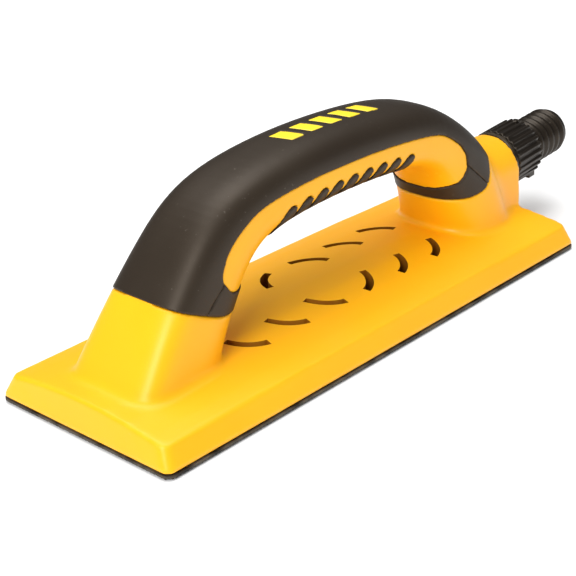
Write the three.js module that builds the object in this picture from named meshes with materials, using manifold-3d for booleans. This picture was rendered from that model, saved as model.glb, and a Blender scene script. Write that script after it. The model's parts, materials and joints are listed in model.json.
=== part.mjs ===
// Hand sanding block with dust extraction: a hollow moulded base with a bow handle, a hook-faced
// sanding pad, and a tilted hose connector with a turning suction collar and a swivelling spigot.
// Millimetres, +Z up, +X towards the hose end. The origin is the middle of the sanding face.
import * as THREE from 'three';
import { mergeVertices } from 'three/addons/utils/BufferGeometryUtils.js';
import Module from 'manifold-3d';

const wasm = await Module();
wasm.setup();

// ---- driving dimensions ----
const blockLength = 230;
const blockWidth = 80;
const padThickness = 1.5;
const gap = 0.3;                               // clearance between neighbouring pieces
const rimHeight = padThickness + gap;          // the housing's lower rim above the sanding face
const wall = 2.5;                              // moulded wall thickness

const sideInset = 3.9;                         // how far the sloping sides lean in
const endInset = 2.4;
const crownMiddle = 13.4;                      // heights of the crowned top above the rim
const crownEndDrop = 2.2;
const crownSideDrop = 4.6;
const crownCornerRise = 1.4;
const cornerRadius = 3.5;
const footHeight = 11.2;                       // the leg and the neck start above this height

const skinThickness = wall;                    // soft grip skin
const shellOutside = skinThickness + gap;      // hard handle shell under the skin
const shellInside = shellOutside + 2.2;
const handleSides = 16;
const handleSteps = 19;

const slotMiddleRadius = 14.8;
const slotWidth = 3;
const slotHalfSpan = THREE.MathUtils.degToRad(30);
const slotColumns = [12.4, 32.8, 53.1];
const slotRow = 14.75;
const chimneyWall = 1.4;
const chimneyTop = 11;                         // inside the crowned top's wall

const recessInset = wall;                      // the backing plate lies in this recess
const recessDepth = 4.4;
const ledgeWidth = 2.5;
const plateThickness = 3;
const sealThickness = 0.8;
const sealWidth = 2.2;
const padInset = 0.3;                          // the hook pad's edge lies this far inside the rim

const holeRadius = 3;
const holePitch = 22;
const holeOuterRow = 28;

const screwPlaces = [[-105, 16], [-105, -16], [0, 30], [0, -30], [105, 16], [105, -16]];
const screwHeadRadius = 3;
const screwShankRadius = 1.4;
const screwLength = 8;
const bossRadius = 3.2;
const bossTop = 9;
const screwHoleTop = 8.2;

const portX = 111.5;                           // rear face of the hose port on the connector's axis
const portZ = 26.7;
const portTilt = THREE.MathUtils.degToRad(4.2);
const portBlockRadius = 14;                    // the port block's round top
const portBlockZ = 24.9;
const portWall = 3;
const portFront = 84;                          // where the port block starts inside the neck
const sleeveRadius = 9.4;
const sleeveBore = 7.6;
const sleeveInner = -12;                       // distances along the connector's axis
const sleeveOuter = 16.4;
const counterbore = 8.8;                       // the wider inner end of the sleeve's bore
const counterboreEnd = 7;
const landRadius = sleeveRadius + 0.6;         // what the collar turns on
const grooveStart = 5.2;
const grooveEnd = 7.2;
const flangeThickness = 2;
const flangeRadius = 12.3;
const bleedStart = 9.6;
const bleedEnd = 14;
const collarStart = 2.8;
const collarEnd = 19.6;
const collarRadius = 12.6;
const collarTaper = 0.5;
const collarBore = 10.9;
const collarRibs = 26;
const ribHeight = 0.6;
const spigotEnd = 44;
const spigotRadius = 9.1;
const threadHeight = 0.9;
const threadPitch = 4;
const threadTurns = 4;
const spigotBore = 6;
const spigotTailBore = 5.6;
const tailEnd = 3;                             // the spigot's tail inside the sleeve
const clipStart = 5.5;
const roundSides = 20;

// Cutting shapes reach this far sideways, lengthways, down, up, and just past the sanding side's sheets.
const farSide = 60;
const farEnd = 130;
const farBelow = -20;
const farAbove = 90;
const sheetBelow = -1;
const sheetAbove = 5;

// Handle sections from the front leg's foot over the bow to the rear neck's foot. Each one has its
// outermost and innermost point in the middle plane, its half width and how square its outer and its
// inner half are.
const sections = [
  { outer: [-108.8, 4], inner: [-66.5, 4], halfWidth: 20.4, squareness: [6, 3.2] },
  { outer: [-104.8, 10.5], inner: [-64, 10.5], halfWidth: 19.8, squareness: [5.6, 3.2] },
  { outer: [-97.2, 22], inner: [-58.5, 21], halfWidth: 18.5, squareness: [5.2, 3] },
  { outer: [-88, 35], inner: [-52.5, 30.5], halfWidth: 17.2, squareness: [4.6, 3] },
  { outer: [-77, 48.4], inner: [-46.5, 39], halfWidth: 16.4, squareness: [3.8, 3.2] },
  { outer: [-67, 59], inner: [-40.5, 44.3], halfWidth: 16, squareness: [3.3, 3.6] },
  { outer: [-55, 66], inner: [-33.5, 46.9], halfWidth: 16, squareness: [3.1, 4] },
  { outer: [-38, 70.3], inner: [-24, 48.3], halfWidth: 16, squareness: [3, 4.2] },
  { outer: [-13, 72.6], inner: [-9, 49.2], halfWidth: 16, squareness: [2.9, 4.2] },
  { outer: [14, 72.4], inner: [12, 49.3], halfWidth: 16, squareness: [2.9, 4.2] },
  { outer: [41.5, 70.4], inner: [34, 47.7], halfWidth: 16, squareness: [2.8, 4] },
  { outer: [59, 65.7], inner: [46, 45], halfWidth: 16, squareness: [2.6, 3.6] },
  { outer: [75.5, 55.9], inner: [54, 40.5], halfWidth: 16.4, squareness: [2.5, 3] },
  { outer: [87.5, 46], inner: [58.5, 34.2], halfWidth: 17.2, squareness: [2.4, 2.7] },
  { outer: [95.5, 36.5], inner: [61, 27.5], halfWidth: 18.2, squareness: [2.4, 2.6] },
  { outer: [101, 24], inner: [64.5, 19], halfWidth: 19.6, squareness: [2.4, 2.6] },
  { outer: [104.3, 10.5], inner: [67.5, 10.5], halfWidth: 21.2, squareness: [2.4, 2.6] },
  { outer: [106, 4], inner: [69, 4], halfWidth: 22, squareness: [2.4, 2.6] },
];

// Lower edges of the black grips, seen from the side.
const legEdge = [[-125, 52.5], [-86, 36.5], [-74, 31.2], [-66, 28.2], [-56, 27], [-40, 26.6]];
const neckEdge = [[50, 28], [75, 28.1], [81, 29.8], [84, 33.5], [86.5, 38], [96, 42], [125, 52]];

// Upper edge of the yellow side windows, from the leg's tip over the bow to the neck.
const windowTop = [
  [-62, 35.6], [-65, 41], [-61.4, 48.1], [-54.5, 53.8], [-43.3, 58.6], [-21, 61], [5, 61.4],
  [31, 60.2], [52, 57.4], [63, 51.7], [68, 46.5], [69.2, 42], [68.6, 38.8], [66, 35.4], [62, 33.7],
];
const windowBottom = [[59.5, 32.3], [45, 31], [0, 20], [-36, 33], [-54, 34.2]];

// Seams where the top grip meets the palm grip.
const legSeam = [[-74, 31.2], [-64.6, 38.8]];
const neckSeam = [[68.8, 41.5], [82.5, 29.5]];

const fingerCount = 9;
const fingerFirst = -29;
const fingerPitch = 8.1;
const fingerWidth = 2.8;
const fingerTop = 55;
const stripStart = -75;                        // the narrow strip from the leg to the fingers
const stripEnd = 38;
const stripHalfWidth = 6;
const stripLow = 20;
const stripHigh = 60;
const palmStart = -33;                         // the wider strip that carries the fingers
const palmEnd = 40;
const palmHalfWidth = 11;

const inlayCount = 5;
const inlayPitch = 10.2;
const inlayStart = -15;
const inlayWidth = 6;
const inlayHeight = 8.6;
const inlaySlant = 2.4;
const inlayDepth = 0.8;
const inlayLow = 65;                           // only the top of the grip is cut
const inlayHigh = 80;

// ---- materials ----
const paint = (color, roughness) => new THREE.MeshStandardMaterial({ color, roughness, metalness: 0 });
const yellowPlastic = paint(0xffc21a, 0.38);
const gripRubber = paint(0x2b2622, 0.6);
const blackPlastic = paint(0x1d1a18, 0.42);
const hookFabric = paint(0x2a2a2a, 0.95);
const greyPlastic = paint(0x3a3d40, 0.5);
const sealRubber = paint(0x181818, 0.8);
const steel = new THREE.MeshStandardMaterial({ color: 0xb9bcc0, roughness: 0.35, metalness: 1 });

// ---- solids ----
function solid(geometry) {
  const bare = geometry.clone();
  bare.deleteAttribute('normal');
  bare.deleteAttribute('uv');
  const merged = mergeVertices(bare, 1e-4);
  return new wasm.Manifold(new wasm.Mesh({
    numProp: 3,
    vertProperties: new Float32Array(merged.attributes.position.array),
    triVerts: new Uint32Array(merged.index.array),
  }));
}

function joined(solids) {
  return solids.reduce((whole, next) => whole.add(next));
}

function mesh(name, shape, material) {
  const { vertProperties, triVerts } = shape.getMesh();
  const geometry = new THREE.BufferGeometry();
  geometry.setAttribute('position', new THREE.BufferAttribute(vertProperties, 3));
  geometry.setIndex(new THREE.BufferAttribute(triVerts, 1));
  geometry.computeVertexNormals();
  const piece = new THREE.Mesh(geometry, material);
  piece.name = name;
  return piece;
}

function box(low, high) {
  const size = high.map((value, i) => value - low[i]);
  const geometry = new THREE.BoxGeometry(...size);
  geometry.translate(...low.map((value, i) => value + size[i] / 2));
  return solid(geometry);
}

function upright(x, y, low, high, radius, sides = 12) {
  const geometry = new THREE.CylinderGeometry(radius, radius, high - low, sides);
  geometry.rotateX(Math.PI / 2);
  geometry.translate(x, y, (low + high) / 2);
  return solid(geometry);
}

// A plan outline raised from one height to another.
function raised(shape, low, high, curveSegments = 1) {
  const settings = { depth: high - low, bevelEnabled: false, curveSegments };
  const geometry = new THREE.ExtrudeGeometry(shape, settings);
  geometry.translate(0, 0, low);
  return solid(geometry);
}

// An outline in the middle plane (x, z) carried across the whole width.
function across(points) {
  const shape = new THREE.Shape(points.map(([x, z]) => new THREE.Vector2(x, z)));
  const geometry = new THREE.ExtrudeGeometry(shape, { depth: 2 * farSide, bevelEnabled: false });
  geometry.rotateX(Math.PI / 2);
  geometry.translate(0, farSide, 0);
  return solid(geometry);
}

// A ring or disc turned about the X axis from (distance along the axis, radius) points.
function turned(profile, sides = roundSides) {
  const geometry = new THREE.LatheGeometry(profile.map(([x, r]) => new THREE.Vector2(r, x)), sides);
  geometry.rotateZ(-Math.PI / 2);
  return solid(geometry);
}

function roundedRectangle(length, width, radius) {
  const shape = new THREE.Shape();
  const x = length / 2 - radius;
  const y = width / 2 - radius;
  shape.absarc(x, y, radius, 0, Math.PI / 2);
  shape.absarc(-x, y, radius, Math.PI / 2, Math.PI);
  shape.absarc(-x, -y, radius, Math.PI, 1.5 * Math.PI);
  shape.absarc(x, -y, radius, 1.5 * Math.PI, 2 * Math.PI);
  return shape;
}

// Moves a closed outline outwards by a distance, or inwards where it is negative.
function offsetOutline(points, distance) {
  const area = points.reduce((sum, [x, z], i) => {
    const [nextX, nextZ] = points[(i + 1) % points.length];
    return sum + x * nextZ - nextX * z;
  }, 0);
  const outwards = Math.sign(area) * distance;
  return points.map(([x, z], i) => {
    const [backX, backZ] = points[(i + points.length - 1) % points.length];
    const [nextX, nextZ] = points[(i + 1) % points.length];
    const along = new THREE.Vector2(nextX - backX, nextZ - backZ).normalize();
    return [x + along.y * outwards, z - along.x * outwards];
  });
}

// ---- base ----
// The crowned block: its sides lean in, and its top is a shallow vault.
function crownedBlock(inset, floor, drop) {
  const block = new THREE.BoxGeometry(1, 1, 1, 8, 6, 1);
  const place = block.attributes.position;
  for (let i = 0; i < place.count; i += 1) {
    const atTop = place.getZ(i) > 0;
    const length = blockLength - 2 * inset - (atTop ? 2 * endInset : 0);
    const width = blockWidth - 2 * inset - (atTop ? 2 * sideInset : 0);
    const alongSquared = (2 * place.getX(i)) ** 2;
    const acrossSquared = (2 * place.getY(i)) ** 2;
    const crown = crownMiddle - crownEndDrop * alongSquared - crownSideDrop * acrossSquared
      + crownCornerRise * alongSquared * acrossSquared;
    place.setXYZ(i, place.getX(i) * length, place.getY(i) * width, atTop ? crown - drop : floor);
  }
  return solid(block);
}

function slotShape(x, y, grow) {
  const facing = Math.atan2(y, x) > 0 ? 1 : -1;
  const middle = x > 0 ? facing * Math.PI / 4 : facing * 3 * Math.PI / 4;
  const centreX = x - slotMiddleRadius * Math.cos(middle);
  const centreY = y - slotMiddleRadius * Math.sin(middle);
  const halfSpan = slotHalfSpan + grow / slotMiddleRadius;
  const outerRadius = slotMiddleRadius + slotWidth / 2 + grow;
  const innerRadius = slotMiddleRadius - slotWidth / 2 - grow;
  const shape = new THREE.Shape();
  shape.absarc(centreX, centreY, outerRadius, middle - halfSpan, middle + halfSpan, false);
  shape.absarc(centreX, centreY, innerRadius, middle + halfSpan, middle - halfSpan, true);
  return shape;
}

function slotPlaces() {
  return slotColumns.flatMap((x) => [[x, slotRow], [-x, slotRow], [x, -slotRow], [-x, -slotRow]]);
}

function slots(grow, low, high) {
  return joined(slotPlaces().map(([x, y]) => raised(slotShape(x, y, grow), low, high)));
}

function holePlaces() {
  const places = [];
  for (let column = 0.5; column < 5; column += 1) {
    for (const x of [column * holePitch, -column * holePitch]) {
      places.push([x, 0], [x, holeOuterRow], [x, -holeOuterRow]);
      if (column > 3) places.push([x, slotRow], [x, -slotRow]);
    }
  }
  return places;
}

function holes(low, high) {
  return joined(holePlaces().map(([x, y]) => upright(x, y, low, high, holeRadius, 6)));
}

// ---- handle ----
// The handle's body, taken in by a distance all round.
function handleBody(inset) {
  const line = (end) => new THREE.CatmullRomCurve3(
    sections.map((s) => new THREE.Vector3(s[end][0], 0, s[end][1])),
  );
  const outerLine = line('outer');
  const innerLine = line('inner');
  const form = new THREE.CatmullRomCurve3(
    sections.map((s) => new THREE.Vector3(s.halfWidth, ...s.squareness)),
  );
  const body = new THREE.CylinderGeometry(1, 1, 1, handleSides, handleSteps);
  const place = body.attributes.position;
  for (let i = 0; i < place.count; i += 1) {
    const step = 0.5 - place.getY(i);
    const outer = outerLine.getPoint(step);
    const inner = innerLine.getPoint(step);
    const { x: halfWidth, y: outerSquareness, z: innerSquareness } = form.getPoint(step);
    const squareness = place.getZ(i) > 0 ? outerSquareness : innerSquareness;
    const middle = outer.clone().add(inner).multiplyScalar(0.5);
    const reach = outer.clone().sub(middle);
    reach.setLength(reach.length() - inset);
    const rounded = (value) => Math.sign(value) * Math.abs(value) ** (2 / squareness);
    middle.addScaledVector(reach, rounded(place.getZ(i)));
    middle.y = rounded(place.getX(i)) * (halfWidth - inset);
    place.setXYZ(i, middle.x, middle.y, middle.z);
  }
  return solid(body);
}

// Everything above the grips' lower edges, moved by a clearance.
function aboveEdges(shift) {
  const leg = legEdge.map(([x, z]) => [x, z + shift]);
  const neck = neckEdge.map(([x, z]) => [x - shift, z + shift]);
  return across([...leg, ...neck, [125, 120], [-125, 120]]);
}

function windowOutline(offset) {
  const top = new THREE.SplineCurve(windowTop.map(([x, z]) => new THREE.Vector2(x, z)));
  const points = top.getPoints(18).map((p) => [p.x, p.y]);
  return offsetOutline([...points, ...windowBottom], offset);
}

// The area that the palm grip's strip and fingers cover inside the windows.
function stripArea(grow) {
  const narrow = stripHalfWidth + grow;
  const wide = palmHalfWidth + grow;
  const parts = [
    box([stripStart, -narrow, stripLow], [stripEnd, narrow, stripHigh]),
    box([palmStart - grow, -wide, stripLow], [palmEnd + grow, wide, stripHigh]),
  ];
  for (let finger = 0; finger < fingerCount; finger += 1) {
    const x = fingerFirst + finger * fingerPitch;
    const side = fingerWidth / 2 + grow;
    parts.push(box([x - side, -farSide, stripLow], [x + side, farSide, fingerTop + grow]));
  }
  return joined(parts);
}

function inlayArea(number, grow) {
  const x = inlayStart + number * inlayPitch;
  const corner = (side, end) => new THREE.Vector2(
    x + side * (inlayWidth / 2 + grow) - end * inlaySlant / 2,
    end * (inlayHeight / 2 + grow),
  );
  const outline = new THREE.Shape([corner(-1, -1), corner(1, -1), corner(1, 1), corner(-1, 1)]);
  return raised(outline, inlayLow, inlayHigh);
}

const wholeHandle = handleBody(0);
const skin = wholeHandle.subtract(handleBody(skinThickness));
const hardTube = handleBody(shellOutside).subtract(handleBody(shellInside));
const grips = skin.intersect(aboveEdges(0));
const windows = across(windowOutline(0));
const legPalmSide = [...legSeam, [-40, 38.8], [-40, 10], [-74, 10]];
const neckPalmSide = [...neckSeam, [82.5, 10], [40, 10], [40, 41.5]];

function topGrip() {
  let grip = grips.subtract(windows);
  grip = grip.subtract(across(legPalmSide)).subtract(across(neckPalmSide));
  for (let number = 0; number < inlayCount; number += 1) {
    const pocket = inlayArea(number, gap).subtract(handleBody(inlayDepth + gap));
    grip = grip.subtract(pocket);
  }
  return grip;
}

function palmGrip() {
  const legPart = grips.subtract(windows).intersect(across(offsetOutline(legPalmSide, -gap)));
  const strip = grips.intersect(across(windowOutline(0.5))).intersect(stripArea(0))
    .intersect(across([[-66, 32], [-40, 60], [60, 60], [70, 32]]));
  return joined([legPart, strip]);
}

function neckBand() {
  return grips.subtract(windows).intersect(across(offsetOutline(neckPalmSide, -gap)));
}

// The hard shell is split along the middle of the bow into an upper and a lower moulding.
function shellSplit(shift) {
  const middles = sections.map(({ outer, inner }) => [
    (outer[0] + inner[0]) / 2,
    (outer[1] + inner[1]) / 2 + shift,
  ]);
  return across([...middles, [0, -10]]);
}

function shellReach() {
  return across([[-125, 42], [-86, 26], [-60, 19], [0, 19], [50, 19], [81, 21], [96, 32], [125, 42],
    [125, 120], [-125, 120]]);
}

function upperShell() {
  return hardTube.intersect(shellReach()).subtract(shellSplit(gap)).subtract(across(windowOutline(0)));
}

function lowerShell() {
  const half = hardTube.intersect(shellReach()).intersect(shellSplit(0));
  const pads = wholeHandle.subtract(handleBody(shellOutside + 1)).intersect(across(windowOutline(-gap)))
    .subtract(stripArea(gap).subtract(handleBody(shellOutside)));
  const underWindows = hardTube.intersect(across(windowOutline(-gap)));
  return joined([half, pads, underWindows]);
}

// The round-topped block around the hose port. Its rear face is square to the tilted connector.
function portBlock(inset, rearWall) {
  const shape = new THREE.Shape();
  const radius = portBlockRadius - inset;
  shape.moveTo(radius, 2);
  shape.absarc(0, portBlockZ, radius, 0, Math.PI, false);
  shape.lineTo(-radius, 2);
  const depth = portX + 10 - portFront;
  const geometry = new THREE.ExtrudeGeometry(shape, { depth, bevelEnabled: false, curveSegments: 10 });
  geometry.rotateX(Math.PI / 2);
  geometry.rotateZ(Math.PI / 2);
  geometry.translate(portFront, 0, 0);
  const behind = new THREE.BoxGeometry(40, 60, 90);
  behind.translate(20 - rearWall, 0, 0);
  onConnector(behind);
  return solid(geometry).subtract(solid(behind));
}

// A rounded rectangle as large as the block, taken in all round.
function blockOutline(inset, radius) {
  return roundedRectangle(blockLength - 2 * inset, blockWidth - 2 * inset, radius);
}

function atScrews(low, high, radius) {
  return joined(screwPlaces.map(([x, y]) => upright(x, y, low, high, radius)));
}

function baseHousing() {
  const edges = raised(blockOutline(0, cornerRadius), sheetBelow, farAbove);
  const recess = raised(blockOutline(recessInset, cornerRadius - 1), sheetBelow, recessDepth);
  const plenum = crownedBlock(recessInset + ledgeWidth, recessDepth - 1, wall);
  const plateTop = plateThickness + gap;
  const bosses = atScrews(plateTop, bossTop, bossRadius);
  const screwHoles = atScrews(sheetBelow, screwHoleTop, screwShankRadius + gap);
  const chimneys = slots(chimneyWall, plateTop, chimneyTop);
  return crownedBlock(0, 0, 0).intersect(edges).subtract(recess).subtract(plenum)
    .subtract(handleBody(wall)).subtract(portBlock(wall, portWall))
    .add(bosses).add(chimneys)
    .subtract(screwHoles).subtract(slots(0, sheetBelow, farAbove));
}

// What stands on the crowned block below the grips' edges, cut off just above the block's top.
function standing(shape) {
  const foot = box([-farEnd, -farSide, farBelow], [farEnd, farSide, footHeight]);
  const beneath = crownedBlock(0, farBelow, -gap).add(foot);
  return shape.subtract(beneath).subtract(handleBody(wall));
}

function frontLeg() {
  const rearHalf = box([0, -farSide, farBelow], [farEnd, farSide, farAbove]);
  const leg = wholeHandle.subtract(aboveEdges(-gap)).subtract(rearHalf);
  return standing(leg);
}

function rearNeck() {
  const frontHalf = box([-farEnd, -farSide, farBelow], [0, farSide, farAbove]);
  const neck = wholeHandle.subtract(aboveEdges(-gap)).subtract(frontHalf);
  return standing(neck.add(portBlock(0, 0))).subtract(portBlock(wall, portWall)).subtract(portBore());
}

// ---- sanding pad ----
function screwBody(x, y) {
  const geometry = new THREE.LatheGeometry([
    new THREE.Vector2(0, 0),
    new THREE.Vector2(screwHeadRadius, 0),
    new THREE.Vector2(screwShankRadius, 1.6),
    new THREE.Vector2(screwShankRadius, screwLength - 1),
    new THREE.Vector2(0, screwLength),
  ], 12);
  geometry.rotateX(Math.PI / 2);
  geometry.translate(x, y, gap);
  return solid(geometry);
}

function countersink(x, y) {
  const cone = new THREE.CylinderGeometry(screwShankRadius + gap, screwHeadRadius + 2 * gap, 2.4, 12);
  cone.rotateX(Math.PI / 2);
  cone.translate(x, y, 1.2);
  const shank = upright(x, y, sheetBelow, sheetAbove, screwShankRadius + gap);
  const mouth = upright(x, y, sheetBelow, 0.1, screwHeadRadius + 2 * gap);
  return joined([solid(cone), shank, mouth]);
}

function backingPlate() {
  const sheet = raised(blockOutline(recessInset + gap, cornerRadius - 1), 0, plateThickness);
  const sinks = joined(screwPlaces.map(([x, y]) => countersink(x, y)));
  return sheet.subtract(holes(sheetBelow, sheetAbove)).subtract(slots(0, sheetBelow, sheetAbove))
    .subtract(sinks);
}

function plateSeal() {
  const edge = recessInset + gap;
  const low = plateThickness + gap / 2;
  const outer = raised(blockOutline(edge, cornerRadius), low, low + sealThickness);
  return outer.subtract(raised(blockOutline(edge + sealWidth, cornerRadius - 1), 0, sheetAbove));
}

function hookPad() {
  const sheet = raised(blockOutline(padInset, cornerRadius), 0, padThickness);
  return sheet.subtract(holes(sheetBelow, sheetAbove)).subtract(slots(0, sheetBelow, sheetAbove));
}

// ---- hose connector, built along +X from the port's rear face ----
// Puts a geometry built along +X from the origin onto the connector's tilted axis.
function onConnector(geometry) {
  geometry.rotateY(-portTilt);
  geometry.translate(portX, 0, portZ);
}

function portBore() {
  const bore = new THREE.CylinderGeometry(sleeveRadius + gap, sleeveRadius + gap, 30, roundSides);
  bore.rotateZ(-Math.PI / 2);
  onConnector(bore);
  return solid(bore);
}

function portSleeve() {
  const flangeEnd = gap + flangeThickness;
  const sleeve = turned([
    [sleeveInner, counterbore], [sleeveInner, sleeveRadius], [gap, sleeveRadius],
    [gap, flangeRadius], [flangeEnd, flangeRadius], [flangeEnd, landRadius], [grooveStart, landRadius],
    [grooveStart, sleeveRadius - 0.4], [grooveEnd, sleeveRadius - 0.4], [grooveEnd, landRadius],
    [sleeveOuter, landRadius], [sleeveOuter, sleeveBore], [counterboreEnd, sleeveBore],
    [counterboreEnd, counterbore], [sleeveInner, counterbore],
  ]);
  return sleeve.subtract(box([bleedStart, -5, -20], [bleedEnd, 5, 0]));
}

function ring(start, end, innerRadius, outerRadius) {
  return turned([
    [start, innerRadius], [start, outerRadius], [end, outerRadius], [end, innerRadius],
    [start, innerRadius],
  ]);
}

function sealRing(at, radius, thickness) {
  const points = [];
  for (let corner = 0; corner <= 6; corner += 1) {
    const angle = corner * Math.PI / 3;
    points.push([at - thickness / 2 * Math.cos(angle), radius + thickness / 2 * Math.sin(angle)]);
  }
  points[6] = points[0];
  return turned(points);
}

function ribbedOutline() {
  const points = [];
  const corners = collarRibs * 4;
  for (let corner = 0; corner < corners; corner += 1) {
    const angle = corner * 2 * Math.PI / corners;
    const radius = corner % 4 < 2 ? collarRadius : collarRadius - ribHeight;
    points.push(new THREE.Vector2(radius * Math.cos(angle), radius * Math.sin(angle)));
  }
  return new THREE.Shape(points);
}

function regulatorCollar() {
  const settings = { depth: collarEnd - collarStart, bevelEnabled: false };
  const teeth = new THREE.ExtrudeGeometry(ribbedOutline(), settings);
  teeth.rotateY(Math.PI / 2);
  teeth.translate(collarStart, 0, 0);
  const tapered = turned([
    [collarStart, collarBore], [collarStart, collarRadius], [collarEnd, collarRadius - collarTaper],
    [collarEnd, collarBore], [collarStart, collarBore],
  ]);
  const mouth = ring(collarEnd - 2.5, collarEnd, collarBore, collarRadius - collarTaper);
  const lug = box([collarEnd - 4, -2, -collarRadius - 0.6], [collarEnd, 2, -collarBore - 0.4]);
  const marker = box([collarEnd - 8, -1.2, collarBore + 0.4], [collarEnd - 4, 1.2, collarRadius + 0.4]);
  return joined([solid(teeth).intersect(tapered), mouth, lug, marker])
    .subtract(box([bleedStart + 1, -3.5, -20], [bleedEnd + 1, 3.5, 0]));
}

function hoseSpigot() {
  const shoulder = collarEnd + 0.8;
  const tailRadius = sleeveBore - gap;
  const profile = [
    [tailEnd, spigotTailBore], [tailEnd, tailRadius], [shoulder, tailRadius], [shoulder, spigotRadius],
  ];
  const threadStart = spigotEnd - 1.4 - threadTurns * threadPitch;
  for (let turn = 0; turn < threadTurns; turn += 1) {
    const at = threadStart + turn * threadPitch;
    profile.push([at + 0.4, spigotRadius], [at + 2, spigotRadius + threadHeight]);
    profile.push([at + 3.6, spigotRadius]);
  }
  profile.push([spigotEnd - 0.9, spigotRadius - 0.2], [spigotEnd, spigotRadius - 1.2]);
  profile.push([spigotEnd, spigotBore], [shoulder, spigotBore], [shoulder - 1, spigotTailBore]);
  profile.push([tailEnd, spigotTailBore]);
  const clipGroove = ring(clipStart - 0.2, clipStart + 1.2, sleeveBore - 0.9, sleeveBore + 3);
  return turned(profile).subtract(clipGroove);
}

// ---- assembly ----
const block = new THREE.Group();
block.add(mesh('hook_pad', hookPad(), hookFabric));

const body = new THREE.Group();
body.position.z = rimHeight;
block.add(body);

body.add(mesh('base_housing', baseHousing(), yellowPlastic));
body.add(mesh('front_leg', frontLeg(), yellowPlastic));
body.add(mesh('rear_neck', rearNeck(), yellowPlastic));
body.add(mesh('backing_plate', backingPlate(), greyPlastic));
body.add(mesh('plate_seal', plateSeal(), sealRubber));
screwPlaces.forEach(([x, y], i) => body.add(mesh(`plate_screw_${i + 1}`, screwBody(x, y), steel)));
body.add(mesh('handle_lower_shell', lowerShell(), yellowPlastic));
body.add(mesh('handle_upper_shell', upperShell(), blackPlastic));
body.add(mesh('top_grip', topGrip(), gripRubber));
body.add(mesh('palm_grip', palmGrip(), gripRubber));
body.add(mesh('neck_band', neckBand(), gripRubber));
for (let number = 0; number < inlayCount; number += 1) {
  const bar = wholeHandle.intersect(inlayArea(number, 0)).subtract(handleBody(inlayDepth));
  body.add(mesh(`grip_inlay_${number + 1}`, bar, yellowPlastic));
}

const connector = new THREE.Group();
connector.position.set(portX, 0, portZ);
connector.rotation.y = -portTilt;
body.add(connector);
connector.add(mesh('port_sleeve', portSleeve(), blackPlastic));
const collarSeal = sealRing((grooveStart + grooveEnd) / 2, sleeveRadius + 0.5, 1.3);
const spigotBush = ring(sleeveOuter + gap, collarEnd + 0.5, sleeveBore, landRadius);
const spigotClip = ring(clipStart, clipStart + 1, sleeveBore - 0.6, sleeveBore + 0.8);
connector.add(mesh('collar_seal', collarSeal, sealRubber));
connector.add(mesh('regulator_collar', regulatorCollar(), blackPlastic));
connector.add(mesh('hose_spigot', hoseSpigot(), blackPlastic));
connector.add(mesh('spigot_bush', spigotBush, greyPlastic));
connector.add(mesh('spigot_clip', spigotClip, steel));

export default block;
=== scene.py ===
# %% [markdown]
# # A hand sanding block with dust extraction
# A decorator's sanding block is a long hollow moulding with a bow handle, soft black grips, curved air
# slots, a thin hook pad underneath and a swivelling hose connector behind. The working parts come
# packed from the design program as a fixed frame. This lesson builds the visible surfaces round that
# frame with ordinary modelling operators, gives every surface a finish made from nodes, and sets the
# camera and lights.

# %% Load the frame and keep its box
import json
import math

import bmesh
import bpy
from mathutils import Matrix, Vector
from mathutils.bvhtree import BVHTree

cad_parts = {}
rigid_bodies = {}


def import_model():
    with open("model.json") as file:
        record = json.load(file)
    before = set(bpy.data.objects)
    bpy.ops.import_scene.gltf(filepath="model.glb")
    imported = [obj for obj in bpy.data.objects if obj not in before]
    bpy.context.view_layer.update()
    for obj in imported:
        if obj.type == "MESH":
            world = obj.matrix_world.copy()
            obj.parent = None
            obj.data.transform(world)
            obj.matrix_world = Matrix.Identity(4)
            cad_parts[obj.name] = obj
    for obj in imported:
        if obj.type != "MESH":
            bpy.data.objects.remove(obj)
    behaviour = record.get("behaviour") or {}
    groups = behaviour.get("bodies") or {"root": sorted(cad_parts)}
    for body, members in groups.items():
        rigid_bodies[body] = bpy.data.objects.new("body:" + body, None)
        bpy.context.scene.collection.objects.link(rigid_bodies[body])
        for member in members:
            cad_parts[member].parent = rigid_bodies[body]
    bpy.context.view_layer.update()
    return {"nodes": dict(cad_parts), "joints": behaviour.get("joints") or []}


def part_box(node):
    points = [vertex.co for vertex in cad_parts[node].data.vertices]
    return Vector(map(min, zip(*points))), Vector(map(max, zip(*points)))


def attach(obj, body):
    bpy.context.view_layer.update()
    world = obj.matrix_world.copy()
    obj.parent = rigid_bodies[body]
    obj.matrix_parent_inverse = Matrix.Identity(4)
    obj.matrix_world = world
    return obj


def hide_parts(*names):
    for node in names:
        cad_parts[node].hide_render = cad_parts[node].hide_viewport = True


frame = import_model()
nodes = frame["nodes"]

# %% [markdown]
# Sizes below are in millimetres, because that is how a maker thinks about a moulding of this size, and
# one small helper turns them into Blender's metres. Heights are counted from the moulding's lower rim,
# which the frame gives, so the pad's thickness never has to be repeated.

# %% Millimetres above the rim
MM = 0.001
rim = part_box("base_housing")[0].z


def at(x, y, z):
    """A point in metres from millimetres, with z counted from the moulding's rim."""
    return Vector((x * MM, y * MM, rim + z * MM))


print("rim height in mm:", round(rim / MM, 2))

# %% [markdown]
# Every piece is modelled the way a person does it in the viewport. These helpers start a primitive with
# nothing else selected, select by place, apply a modifier, and cut one piece with another. The manifold
# boolean solver is used because all the blanks are closed, and it stays fast on dense meshes.

# %% Selection and modifier helpers
def start():
    """Leaves edit mode and deselects everything, so an operator can't touch another piece."""
    if bpy.context.mode != "OBJECT":
        bpy.ops.object.mode_set(mode="OBJECT")
    bpy.ops.object.select_all(action="DESELECT")


def edit(piece):
    start()
    bpy.context.view_layer.objects.active = piece
    piece.select_set(True)
    bpy.ops.object.mode_set(mode="EDIT")


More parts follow.
